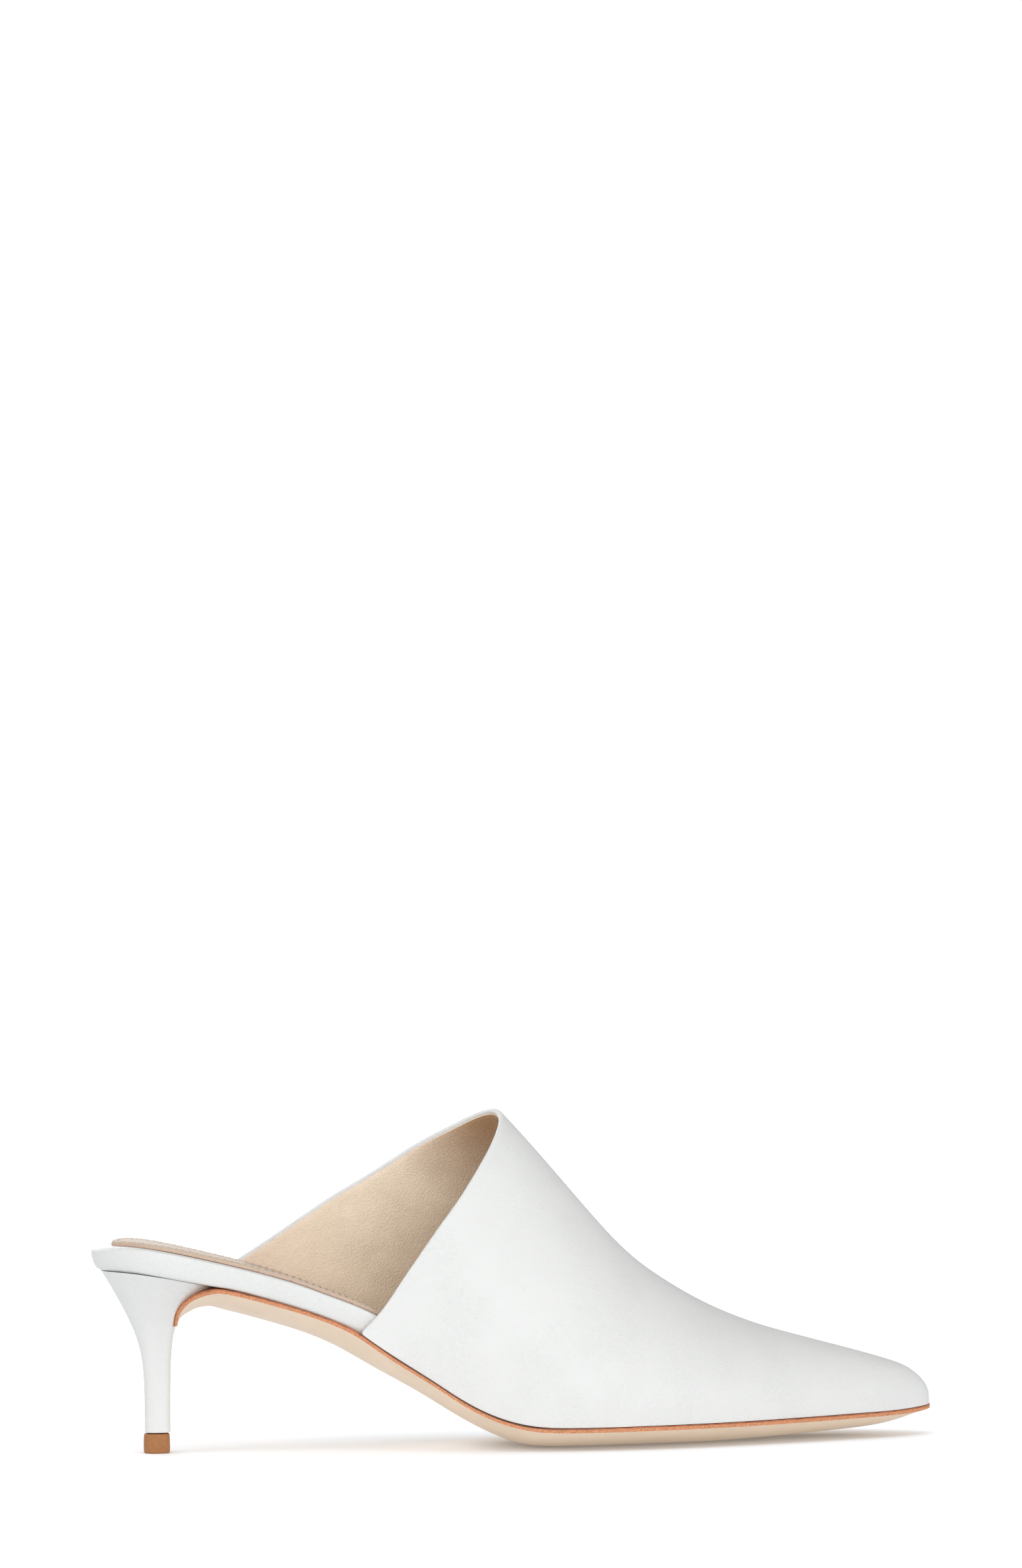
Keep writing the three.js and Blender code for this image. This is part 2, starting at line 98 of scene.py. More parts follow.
def linear(hex_colour):
    """An sRGB hex colour as the linear red, green and blue that Blender mixes."""
    channels = [int(hex_colour[i:i + 2], 16) / 255 for i in (1, 3, 5)]
    return [c / 12.92 if c <= 0.04045 else ((c + 0.055) / 1.055) ** 2.4 for c in channels]


def distance(title, text, size_mm):
    """A size that a user can change, in metres, given here in millimetres."""
    return FloatProperty(
        name=title, description=text, default=size_mm * MM, min=0, subtype="DISTANCE", unit="LENGTH"
    )


def colour(title, text, hex_colour):
    """A colour that a user can change."""
    return FloatVectorProperty(
        name=title, description=text, default=linear(hex_colour), size=3, min=0, max=1, subtype="COLOR"
    )


def power(title, text, watts):
    """A light's power that a user can change."""
    return FloatProperty(name=title, description=text, default=watts, min=0, subtype="POWER", unit="POWER")


class MuleSizes(bpy.types.PropertyGroup):
    fold: distance("Fold", "White leather turned in over the topline before the lining starts", 1.1)
    rim: distance("Rim", "Radius of the rounded rim of the topline", 0.85)
    skin: distance("Lining", "Thickness of the lining leather", 0.3)
    stitch: distance("Stitch", "Length of one stitch on the sock lining", 1.3)
    stitch_step: distance("Stitch step", "Distance from one stitch to the next", 2.1)
    stitch_inset: distance("Stitch inset", "From the sock lining's edge to its stitches", 1.7)
    sock_round: distance("Sock edge", "Rounding along the top of the sock lining's edge", 0.6)
    thread: distance("Thread", "Thickness of the sewing thread", 0.45)
    settle: distance("Settle", "How far the upper and insole sink towards the sole under pressure", 0.17)
    stain: distance("Stain", "Width of the dark line along the top of the sole's edge", 0.22)


class MuleColours(bpy.types.PropertyGroup):
    nappa: colour("Nappa", "White upper leather", "#ECEDEB")
    lining: colour("Lining", "Beige lining leather", "#EDD6C1")
    sock: colour("Sock", "Beige leather under the foot", "#CDBBA8")
    raw_edge: colour("Raw edge", "Cut edge of the linings", "#D0B3A0")
    thread: colour("Thread", "Sewing thread", "#F3DDCC")
    sole: colour("Sole", "Sealed face of the sole leather", "#F5DFC6")
    sole_edge: colour("Sole edge", "Dyed edge of the sole leather", "#DB976E")
    stain: colour("Stain", "Dark line of edge dye along the upper", "#A8623E")
    rubber: colour("Rubber", "Top piece under the heel", "#AC7446")


class MuleStage(bpy.types.PropertyGroup):
    sky: FloatProperty(name="Sky", description="Even light from all round", default=0.43, min=0)
    front: power("Front light", "Large soft box beside the camera", 17)
    side: power("Side light", "Soft box that shines into the mouth of the shoe", 14)
    top: power("Top light", "Soft box over the shoe, a little in front of it", 6)
    right: power("Toe light", "Soft box that fills in the toe", 7)
    back: power("Back light", "Large soft box behind the shoe, which brightens the far rim", 20)
    # Painted light: the white floor itself glows; no lamp lies under it.
    glow: FloatProperty(
        name="Floor glow", description="Light from under the white floor, which keeps its shadows pale",
        default=0.5, min=0,
    )


# ---- Modelling helpers ------------------------------------------------------------------------------------


def take_up(piece):
    """Selects one piece alone and makes it the active one."""
    bpy.ops.object.select_all(action="DESELECT")
    piece.select_set(True)
    bpy.context.view_layer.objects.active = piece


@contextmanager
def edit_mode(piece):
    """Puts one piece alone into edit mode with nothing on it selected, and comes out again afterwards."""
    take_up(piece)
    bpy.ops.object.mode_set(mode="EDIT")
    bpy.ops.mesh.select_all(action="DESELECT")
    yield
    bpy.ops.object.mode_set(mode="OBJECT")


def pick(piece, wanted):
    """Selects only the faces that wanted says yes to."""
    bpy.ops.mesh.select_mode(type="FACE")
    bpy.ops.mesh.select_all(action="DESELECT")
    mesh = bmesh.from_edit_mesh(piece.data)
    mesh.faces.index_update()
    found = [face for face in mesh.faces if wanted(face)]
    if not found:
        raise RuntimeError(f"{piece.name}: no faces are where they should be")
    for face in found:
        face.select_set(True)
    mesh.select_flush_mode()
    bmesh.update_edit_mesh(piece.data)


def picked_faces(piece):
    """The numbers of the faces that are selected."""
    faces = bmesh.from_edit_mesh(piece.data).faces
    faces.index_update()
    return {face.index for face in faces if face.select}


def pick_patch(piece, near, facing, delimit=("SHARP",)):
    """Selects the patch within marked lines that holds the face nearest a point and turned a given way."""
    facing = Vector(facing)
    centre = Vector(near)
    faces = bmesh.from_edit_mesh(piece.data).faces
    faces.index_update()
    close_to_facing = 0.6
    turned = [face for face in faces if face.normal.dot(facing) > close_to_facing]
    seed = min(turned, key=lambda face: (face.calc_center_median() - centre).length).index
    pick(piece, lambda face: face.index == seed)
    bpy.ops.mesh.select_linked(delimit=set(delimit))


def cad_copy(node_name, piece_name, sharp_degrees=50):
    """A merged copy of a CAD node, its triangles paired into four-sided faces and its edges marked sharp."""
    mesh = frame["nodes"][node_name].data.copy()
    piece = bpy.data.objects.new(piece_name, mesh)
    bpy.context.scene.collection.objects.link(piece)
    piece.data.name = piece_name
    piece.data.materials.clear()
    with edit_mode(piece):
        bpy.ops.mesh.select_all(action="SELECT")
        bpy.ops.mesh.customdata_custom_splitnormals_clear()
        bpy.ops.mesh.remove_doubles(threshold=0.001 * MM)
        bpy.ops.mesh.mark_sharp(clear=True)
        bpy.ops.mesh.tris_convert_to_quads(
            face_threshold=math.pi, shape_threshold=math.pi, topology_influence=2.0
        )
        bpy.ops.mesh.select_mode(type="EDGE")
        bpy.ops.mesh.select_all(action="DESELECT")
        bpy.ops.mesh.edges_select_sharp(sharpness=math.radians(sharp_degrees))
        bpy.ops.mesh.mark_sharp()
    return piece


def crease(piece, amount, sharp_degrees=50):
    """Holds the sharp edges of a piece against the subdivision that follows."""
    with edit_mode(piece):
        bpy.ops.mesh.select_mode(type="EDGE")
        bpy.ops.mesh.edges_select_sharp(sharpness=math.radians(sharp_degrees))
        bpy.ops.transform.edge_crease(value=amount)


def subdivide(piece, levels):
    """Rounds a piece by subdivision and keeps the result."""
    modifier = piece.modifiers.new("Rounded", "SUBSURF")
    modifier.levels = modifier.render_levels = levels
    take_up(piece)
    bpy.ops.object.modifier_apply(modifier=modifier.name)


def finish(piece, materials, slot, *nodes, smooth_degrees=40):
    """Shades a piece, gives it any materials it still lacks and hands it to the frame."""
    with edit_mode(piece):
        bpy.ops.mesh.select_all(action="SELECT")
        bpy.ops.mesh.mark_sharp(clear=True)
    bpy.ops.object.shade_smooth_by_angle(angle=math.radians(smooth_degrees))
    for material in materials:
        piece.data.materials.append(material)
    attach(piece, "root")
    if nodes:
        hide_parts(*nodes)


# ---- Materials --------------------------------------------------------------------------------------------


def add(tree, kind, inputs=None, **settings):
    """Adds one node with its own settings. An input is a value, or another node's output to link."""
    node = tree.nodes.new(kind)
    for name, value in settings.items():
        setattr(node, name, value)
    for name, value in (inputs or {}).items():
        if isinstance(value, bpy.types.NodeSocket):
            tree.links.new(value, node.inputs[name])
        else:
            node.inputs[name].default_value = value
    return node


def blank(name, roughness, specular=0.5):
    """A material with one shader, and the place on the piece in metres for its patterns."""
    material = bpy.data.materials.new(name)
    material.use_nodes = True
    tree = material.node_tree
    tree.nodes.clear()
    place = add(tree, "ShaderNodeTexCoord").outputs["Object"]
    shader = add(
        tree, "ShaderNodeBsdfPrincipled", {"Roughness": roughness, "Specular IOR Level": specular, "IOR": 1.5}
    )
    tree.nodes.active = add(tree, "ShaderNodeOutputMaterial", {"Surface": shader.outputs["BSDF"]})
    return material, tree, place, shader


def speckle(tree, place, size_mm, detail=2.0, stretch=(1, 1, 1), turn=(0, 0, 0), rough=0.5):
    """Soft cloudy values between 0 and 1, with spots of about one size, stretched and turned to suit."""
    scale = [1 / (size_mm * MM * s) for s in stretch]
    turned = add(tree, "ShaderNodeMapping", {"Vector": place, "Rotation": turn})
    scaled = add(tree, "ShaderNodeMapping", {"Vector": turned.outputs["Vector"], "Scale": scale})
    return add(
        tree, "ShaderNodeTexNoise",
        {"Vector": scaled.outputs["Vector"], "Scale": 1.0, "Detail": detail, "Roughness": rough},
    ).outputs["Fac"]


def between(tree, value, low, high, to_low=0.0, to_high=1.0):
    """The value spread from low and high to the new limits, and held there."""
    return add(
        tree, "ShaderNodeMapRange",
        {"Value": value, "From Min": low, "From Max": high, "To Min": to_low, "To Max": to_high},
        clamp=True,
    ).outputs["Result"]


def math_of(tree, operation, a, b):
    """Two values brought together by an operation such as MULTIPLY."""
    return add(tree, "ShaderNodeMath", {0: a, 1: b}, operation=operation).outputs["Value"]


def shades(tree, factor, dark, light):
    """A colour between two, as factor goes from 0 to 1."""
    return add(
        tree, "ShaderNodeMix", {0: factor, 6: [*dark, 1], 7: [*light, 1]}, data_type="RGBA"
    ).outputs[2]


def bump(tree, height, depth_mm, before=None):
    """Relief of a given depth on top of any relief before it."""
    inputs = {"Height": height, "Distance": depth_mm * MM}
    if before is not None:
        inputs["Normal"] = before
    return add(tree, "ShaderNodeBump", inputs).outputs["Normal"]


def grain(tree, place, size_mm, sharpness=0.35):
    """The pebbles of a leather's grain: 0 in the fine furrows and 1 on the pebbles."""
    # The cells drift by most of a pebble, in waves of three pebbles, so that their furrows aren't straight.
    pebble_size = size_mm * MM
    drift = add(
        tree, "ShaderNodeTexNoise", {"Vector": place, "Scale": 1 / (3 * pebble_size), "Detail": 1.0}
    ).outputs["Color"]
    moved = add(
        tree, "ShaderNodeVectorMath", {0: drift, 1: [0.8 * pebble_size] * 3}, operation="MULTIPLY"
    ).outputs["Vector"]
    waved = add(tree, "ShaderNodeVectorMath", {0: place, 1: moved}, operation="ADD").outputs["Vector"]
    cells = add(
        tree, "ShaderNodeTexVoronoi", {"Vector": waved, "Scale": 1 / pebble_size}, feature="DISTANCE_TO_EDGE"
    ).outputs["Distance"]
    return between(tree, cells, 0.0, sharpness)


def tinted(base, factor):
    """A linear colour made lighter or darker."""
    return [min(1.0, c * factor) for c in base]


def nappa_material(name, base, wrinkles=None):
    """Calf nappa, pigmented white and plated smooth: an even satin skin. The grain is pressed nearly flat, so
    it only shows in patches, and the light breaks a little on slow waves from pulling it over the last."""
    material, tree, place, shader = blank(name, 0.4, 0.5)
    patches = between(tree, speckle(tree, place, 16), 0.38, 0.6, 0.45, 1.0)
    # Nappa's pores lie about 0.3 mm apart and its furrows not much further, too fine to show, so the pebbles
    # between the furrows are drawn at 0.7 mm.
    pebbles = math_of(tree, "MULTIPLY", grain(tree, place, 0.7, 0.45), patches)
    waves = bump(tree, speckle(tree, place, 18, detail=1.0), 0.22)
    fine = speckle(tree, place, 0.35, detail=2.0, stretch=(1.4, 1.0, 0.8), turn=(0, math.radians(35), 0))
    relief = bump(tree, math_of(tree, "MULTIPLY", fine, patches), 0.09, waves)
    relief = bump(tree, pebbles, 0.08, relief)
    if wrinkles:
        relief = bump(tree, wrinkles(tree, place), 0.05, relief)
    tint = shades(tree, speckle(tree, place, 22), tinted(base, 0.965), base)
    tree.links.new(tint, shader.inputs["Base Color"])
    tree.links.new(between(tree, pebbles, 0, 1, 0.44, 0.3), shader.inputs["Roughness"])
    tree.links.new(relief, shader.inputs["Normal"])
    return material


def band_wrinkles(tree, place):
    """Fine wrinkles 0.4 mm apart along the insole's side, where the leather is pulled round it."""
    fine = speckle(tree, place, 0.4, detail=2.0, stretch=(0.9, 1, 2.2), turn=(0, math.radians(-12), 0))
    return between(tree, fine, 0.35, 0.7)


def heel_wrinkles(tree, place):
    """Slanting wrinkles 0.45 mm apart on the front of the heel's stem, where the cover is drawn together."""
    fine = speckle(tree, place, 0.45, detail=2.0, stretch=(1, 1, 2.4), turn=(0, math.radians(25), 0))
    x = add(tree, "ShaderNodeSeparateXYZ", {"Vector": place}).outputs["X"]
    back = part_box("heel")[0].x
    front = between(tree, x, back + 13 * MM, back + 19 * MM, 0.1, 1.0)
    return math_of(tree, "MULTIPLY", between(tree, fine, 0.35, 0.7), front)


def lining_material(base):
    """Kid lining, drum dyed beige and left soft: a low sheen and a lively grain, with fine wrinkles that run
    down from the edge. Its colour carries painted shade inside the topline's peak and painted light towards
    its front."""
    material, tree, place, shader = blank("kid lining, drum dyed", 0.46, 0.5)
    pebbles = speckle(tree, place, 0.3, detail=1.0, stretch=(1.0, 1.0, 1.4), turn=(0, math.radians(-25), 0))
    # The fine furrows are about 0.4 mm apart, drawn at 0.75 mm so that they show.
    furrows = grain(tree, place, 0.75, 0.4)
    creases = speckle(tree, place, 0.46, detail=1.0, stretch=(0.9, 1.0, 2.0), turn=(0, math.radians(-28), 0))
    soft = bump(tree, speckle(tree, place, 11, detail=1.0), 0.7)
    relief = bump(tree, creases, 0.12, bump(tree, furrows, 0.07, bump(tree, pebbles, 0.06, soft)))
    low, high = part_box("upper")
    x = add(tree, "ShaderNodeSeparateXYZ", {"Vector": place}).outputs["X"]
    # Painted light: from the back of the upper to 42 mm forward the lining turns from its own colour to a
    # lighter one.
    tint = shades(tree, between(tree, x, low.x, low.x + 42 * MM), base, linear(LINING_FRONT_PAINTED_LIGHT))
    cloudy = between(tree, speckle(tree, place, 9, detail=2.0), 0.3, 0.7, 0.0, 0.35)
    tint = add(
        tree, "ShaderNodeMix", {0: cloudy, 6: tint, 7: [*tinted(base, 0.93), 1]}, data_type="RGBA"
    ).outputs[2]
    # Painted shade: inside the topline's peak, within 4 to 32 mm of it, the lining turns dark.
    from_peak = add(
        tree, "ShaderNodeVectorMath", {0: place, 1: (low.x + PEAK, 10 * MM, high.z)}, operation="DISTANCE"
    ).outputs["Value"]
    outside_painted_shade = between(tree, from_peak, 4 * MM, 32 * MM)
    tint = add(
        tree, "ShaderNodeMix", {0: outside_painted_shade, 6: [*linear(LINING_PEAK_PAINTED_SHADE), 1], 7: tint}, data_type="RGBA"
    ).outputs[2]
    tree.links.new(tint, shader.inputs["Base Color"])
    tree.links.new(relief, shader.inputs["Normal"])
    return material


def sock_material(base):
    """Kid sock lining, glued flat on the insole: the same soft skin, ironed smoother."""
    material, tree, place, shader = blank("kid sock lining, ironed", 0.5, 0.4)
    # Its furrows are about 0.4 mm apart like the lining's, drawn at 0.9 mm so that they show.
    relief = bump(tree, grain(tree, place, 0.9, 0.3), 0.02, bump(tree, speckle(tree, place, 11, 1.0), 0.25))
    tint = shades(tree, speckle(tree, place, 4, detail=3.0), tinted(base, 0.95), tinted(base, 1.02))
    tree.links.new(tint, shader.inputs["Base Color"])
    tree.links.new(relief, shader.inputs["Normal"])
    return material


def raw_edge_material(name, base):
    """Cut or pierced edge of thin leather, undyed: open fibres, matt, paler and browner by turns. For the
    needle holes it is given a dark colour that is painted shade.
    """
    material, tree, place, shader = blank(name, 0.8, 0.2)
    # Fibres are a few hundredths of a millimetre thick, drawn at 0.5 mm so that they show.
    fibres = speckle(tree, place, 0.5, detail=3.0)
    tint = shades(tree, between(tree, fibres, 0.28, 0.44), tinted(base, 0.6), tinted(base, 1.12))
    tree.links.new(tint, shader.inputs["Base Color"])
    tree.links.new(bump(tree, fibres, 0.12), shader.inputs["Normal"])
    return material


def thread_material(base):
    """Polyester sewing thread, waxed: a slight shine, with the twist of its strands."""
    material, tree, place, shader = blank("polyester thread, waxed", 0.45)
    # The strands of a 0.45 mm thread cross it about every 0.25 mm.
    twist = speckle(tree, place, 0.25, detail=1.0)
    tint = shades(tree, twist, tinted(base, 0.75), tinted(base, 1.08))
    tree.links.new(tint, shader.inputs["Base Color"])
    tree.links.new(bump(tree, twist, 0.05), shader.inputs["Normal"])
    return material


def sole_material(base):
    """Vegetable-tanned sole leather, sealed and waxed: smooth and faintly cloudy, with a soft shine."""
    material, tree, place, shader = blank("sole leather, sealed and waxed", 0.38, 0.45)
    clouds = speckle(tree, place, 9, detail=4.0)
    tint = shades(tree, between(tree, clouds, 0.3, 0.7), tinted(base, 0.95), tinted(base, 1.02))
    # Pores are 0.1 to 0.2 mm apart, drawn at 0.5 mm so that they show.
    pores = speckle(tree, place, 0.5, detail=2.0)
    tree.links.new(tint, shader.inputs["Base Color"])
    tree.links.new(between(tree, clouds, 0.3, 0.7, 0.42, 0.34), shader.inputs["Roughness"])
    tree.links.new(bump(tree, pores, 0.012), shader.inputs["Normal"])
    return material


def sole_edge_material(base):
    """Cut edge of the sole leather, sanded and dyed: its fibre bundles take the dye unevenly, in short dark
    and light flecks along the edge, and leave it slightly rough."""
    material, tree, place, shader = blank("sole leather edge, sanded and dyed", 0.6, 0.3)
    # Fibre bundles are about 0.2 mm across, drawn at 0.3 mm so that they show.
    flecks = speckle(tree, place, 0.3, detail=3.0, stretch=(1.5, 1.5, 0.8))
    tint = shades(tree, between(tree, flecks, 0.36, 0.64), tinted(base, 0.7), tinted(base, 1.22))
    tree.links.new(tint, shader.inputs["Base Color"])
    tree.links.new(bump(tree, flecks, 0.12), shader.inputs["Normal"])
    return material


def stain_material(base):
    """Edge dye laid on thick where the sole meets the upper: a dark line, glossier where the dye pooled."""
    material, tree, place, shader = blank("edge dye, brushed on", 0.5, 0.4)
    # A small brush leaves strokes a few millimetres long and just under one wide.
    strokes = speckle(tree, place, 0.8, detail=3.0, stretch=(3, 3, 1))
    tint = shades(tree, between(tree, strokes, 0.35, 0.7), tinted(base, 0.75), tinted(base, 1.7))
    # It is much darker in the waist, from where the upper's edge begins to where the sole turns to the ball.
    x = add(tree, "ShaderNodeSeparateXYZ", {"Vector": place}).outputs["X"]
    waist = math_of(
        tree, "MULTIPLY", between(tree, x, -52 * MM, -40 * MM), between(tree, x, 0, 24 * MM, 0.85, 0)
    )
    tint = add(
        tree, "ShaderNodeMix", {0: waist, 6: tint, 7: [*tinted(base, 0.3), 1]}, data_type="RGBA"
    ).outputs[2]
    tree.links.new(tint, shader.inputs["Base Color"])
    tree.links.new(between(tree, strokes, 0, 1, 0.35, 0.65), shader.inputs["Roughness"])
    return material


def rubber_material(base):
    """Polyurethane rubber, moulded and trimmed: dull tan, with its filler's faint mottle and cut marks."""
    material, tree, place, shader = blank("polyurethane rubber, trimmed", 0.6, 0.4)
    mottle = speckle(tree, place, 0.7, detail=4.0, rough=0.7)
    tint = shades(tree, between(tree, mottle, 0.3, 0.7), tinted(base, 0.86), tinted(base, 1.12))
    # The trimming knife leaves level scratches, about 0.35 mm apart.
    cuts = speckle(tree, place, 0.35, detail=2.0, stretch=(6, 6, 1))
    tree.links.new(tint, shader.inputs["Base Color"])
    tree.links.new(bump(tree, cuts, 0.05), shader.inputs["Normal"])
    return material


# ---- Pieces -----------------------------------------------------------------------------------------------


# The rim is the narrow patch along the topline. At the peak it faces back and up.
RIM_FACING = (-0.8, 0, 0.6)


def split_at_topline(piece, fold, peak):
    """Marks a seam one fold's width from the rim, inside and outside the upper."""
    with edit_mode(piece):
        pick_patch(piece, peak, RIM_FACING)
        bpy.ops.mesh.select_all(action="INVERT")
        bpy.ops.mesh.inset(thickness=fold, use_boundary=True, use_even_offset=True)
        bpy.ops.mesh.region_to_loop()
        bpy.ops.mesh.mark_seam(clear=False)


# Soft folds, alike on the upper's two sides, in millimetres: where each starts and ends (along the foot from
# the back of the upper, and up), its width and its height. A fold is a low swell or, below zero, a dip.
FOLDS = (
    ((6, 31), (34, 24), 9, -0.28), ((14, 38), (44, 27), 10, 0.25), ((60, 30), (96, 13), 14, 0.3),
    ((78, 34), (112, 15), 12, -0.28), ((96, 34), (124, 18), 12, 0.22), ((40, 62), (62, 40), 14, 0.25),
    ((70, 80), (92, 60), 12, -0.22),
)


def press_folds(piece):
    """Moves the leather's outer face in or out a little along each soft fold, fading away at its ends."""
    verts = piece.data.vertices
    low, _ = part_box("upper")
    places, normals = np.empty(len(verts) * 3), np.empty(len(verts) * 3)
    verts.foreach_get("co", places)
    verts.foreach_get("normal", normals)
    places, normals = places.reshape(-1, 3), normals.reshape(-1, 3)
    clearly_sideways = 0.25
    outer = (normals[:, 1] * places[:, 1] > 0) & (abs(normals[:, 1]) > clearly_sideways)
    side = (places[:, (0, 2)] - (low.x, 0)) / MM
    moved = np.zeros(len(verts))
    for start, end, width, height in FOLDS:
        along = np.subtract(end, start)
        reach = ((side - start) @ along / (along @ along)).clip(0, 1)
        off = np.linalg.norm(side - start - reach[:, None] * along, axis=1) / width
        moved += height * np.cos(off.clip(0, 1) * math.pi / 2) ** 2 * np.sin(reach * math.pi) ** 2
    places += normals * (moved * outer * MM)[:, None]
    verts.foreach_set("co", places.ravel())
    piece.data.update()


class MULE_OT_upper(bpy.types.Operator):
    """White leather shell with its rounded rim, folded in over the topline"""

    bl_idname = "mule.upper"
    bl_label = "Upper leather"

    def execute(self, context):
        sizes = context.scene.mule_sizes
        low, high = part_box("upper")
        peak = (low.x + PEAK, 0, high.z)
        piece = cad_copy("upper", "upper_leather")
        split_at_topline(piece, sizes.fold, peak)
        with edit_mode(piece):
            # The inner skin drops back, so that the lining can lie in the hollow.
            pick_patch(piece, (low.x + INSTEP, 0, low.z + 40 * MM), (0, 0, -1), ("SHARP", "SEAM"))
            bpy.ops.transform.shrink_fatten(value=-(sizes.skin + LINING_AIR))
            # The bottom edge comes down until it all but touches the sole.
            pick_patch(piece, (low.x + BALL_EDGE, low.y, low.z), (0, 0, -1))
            bpy.ops.transform.translate(value=(0, 0, -sizes.settle))
            pick_patch(piece, peak, RIM_FACING)
            bpy.ops.mesh.region_to_loop()
            bpy.ops.mesh.bevel(offset=sizes.rim, segments=3, affect="EDGES")
        crease(piece, 1.0)
        subdivide(piece, 2)
        press_folds(piece)
        white = nappa_material("calf nappa, pigmented and plated", context.scene.mule_colours.nappa)
        finish(piece, [white], "upper_leather", "upper")
        return {"FINISHED"}


class MULE_OT_lining(bpy.types.Operator):
    """Beige lining inside the upper, its knife-cut edge just under the rim"""

    bl_idname = "mule.lining"
    bl_label = "Upper lining"

    def execute(self, context):
        sizes = context.scene.mule_sizes
        colours = context.scene.mule_colours
        low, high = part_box("upper")
        piece = cad_copy("upper", "upper_lining")
        split_at_topline(piece, sizes.fold, (low.x + PEAK, 0, high.z))
        with edit_mode(piece):
            pick_patch(piece, (low.x + INSTEP, 0, low.z + 40 * MM), (0, 0, -1), ("SHARP", "SEAM"))
            bpy.ops.mesh.select_all(action="INVERT")
            bpy.ops.mesh.delete(type="FACE")
        piece.data.materials.append(lining_material(colours.lining))
        piece.data.materials.append(raw_edge_material("kid lining, knife-cut edge", colours.lining))
        wall = piece.modifiers.new("Wall", "SOLIDIFY")
        wall.thickness = sizes.skin
        wall.offset = -1
        wall.use_even_offset = True
        wall.material_offset_rim = 1
        take_up(piece)
        bpy.ops.object.modifier_apply(modifier=wall.name)
        crease(piece, 0.85)
        subdivide(piece, 2)
        finish(piece, [], "lining_leather")
        return {"FINISHED"}


class MULE_OT_insole(bpy.types.Operator):
    """Padded insole, covered in the upper's leather"""

    bl_idname = "mule.insole"
    bl_label = "Insole"

    def execute(self, context):
        piece = cad_copy("insole", "insole_cover")
        low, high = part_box("insole")
        with edit_mode(piece):
            pick_patch(piece, ((low.x + high.x) / 2, 0, low.z), (0, 0, -1))
            bpy.ops.transform.translate(value=(0, 0, -context.scene.mule_sizes.settle))
        crease(piece, 1.0)
        subdivide(piece, 2)
        white = nappa_material(
            "calf nappa, pulled over the insole", context.scene.mule_colours.nappa, band_wrinkles
        )
        finish(piece, [white], "upper_leather", "insole")
        return {"FINISHED"}


class MULE_OT_sock(bpy.types.Operator):
    """Sock lining with a cut edge, a row of stitches along it and small dark bodies of painted shade for the
    needle holes between them
    """

    bl_idname = "mule.sock"
    bl_label = "Sock lining"

    def execute(self, context):
        sizes = context.scene.mule_sizes
        colours = context.scene.mule_colours
        piece = cad_copy("sock_lining", "sock_lining_leather", 40)
        low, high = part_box("sock_lining")
        middle = (low + high) / 2
        with edit_mode(piece):
            pick_patch(piece, middle, (0, 0, 1))
            bpy.ops.mesh.region_to_loop()
            path = moved_in(walk_selected(piece), sizes.stitch_inset)
            bpy.ops.mesh.bevel(offset=sizes.sock_round, segments=3, affect="EDGES")
            # The glued underside lies down on the insole.
            pick_patch(piece, middle, (0, 0, -1))
            bpy.ops.transform.translate(value=(0, 0, -SOCK_SINK))
        piece.data.materials.append(sock_material(colours.sock))
        piece.data.materials.append(raw_edge_material("kid sock lining, knife-cut edge", colours.raw_edge))
        upright = 0.2
        for face in piece.data.polygons:
            face.material_index = 1 if abs(face.normal.z) < upright else 0
        crease(piece, 0.7, 40)
        subdivide(piece, 2)
        finish(piece, [], "lining_leather", "sock_lining")
        path = laid_on(piece, path)
        stitch = pebble(sizes.stitch, sizes.thread, sizes.thread * 0.8)
        stitches = repeat_along(path, stitch, sizes.stitch_step, "sock_stitches")
        finish(stitches, [thread_material(colours.thread)], "lining_leather")
        # A hole lies half-way between two stitches, narrower and flatter than the thread: a small dark body
        # whose colour is painted shade for the needle hole.
        half_step = path[0].lerp(path[1], sizes.stitch_step / 2 / (path[1] - path[0]).length)
        hole = pebble((sizes.stitch_step - sizes.stitch) * 0.7, sizes.thread * 0.7, sizes.thread * 0.4)
        holes = repeat_along([half_step, *path[1:-1], half_step], hole, sizes.stitch_step, "needle_hole_shade")
        pierced = raw_edge_material("needle holes, painted shade", linear(NEEDLE_HOLE_SHADE))
        finish(holes, [pierced], "lining_leather")
        return {"FINISHED"}


def walk_selected(piece):
    """The selected loop of edges as a row of points, in order round the loop."""
    mesh = bmesh.from_edit_mesh(piece.data)
    edges = [edge for edge in mesh.edges if edge.select]
    steps = {}
    for edge in edges:
        a, b = edge.verts
        steps.setdefault(a, []).append(b)
        steps.setdefault(b, []).append(a)
    start = min(steps, key=lambda vert: vert.co.x)
    points, here, before = [start.co.copy()], steps[start][0], start
    while here is not start:
        points.append(here.co.copy())
        ahead = [vert for vert in steps[here] if vert is not before]
        before, here = here, ahead[0]
    points.append(start.co.copy())
    return points


def moved_in(loop, inset):
    """A closed loop seen from above, moved towards its inside by an even distance."""
    points = loop[:-1]
    turned = sum(a.x * b.y - b.x * a.y for a, b in zip(loop, loop[1:]))
    moved = []
    for i, point in enumerate(points):
        along = points[(i + 1) % len(points)] - points[i - 1]
        side = Vector((-along.y, along.x, 0)).normalized() * (1 if turned > 0 else -1)
        moved.append(point + side * inset)
    return [*moved, moved[0]]


def laid_on(piece, path):
    """The path brought straight down to just above the surface of a piece."""
    above = Vector((0, 0, 10 * MM))
    laid = []
    for point in path:
        hit, place, _, _ = piece.ray_cast(point + above, Vector((0, 0, -1)))
        if hit:
            laid.append(place + Vector((0, 0, THREAD_AIR)))
    return [*laid, laid[0]]


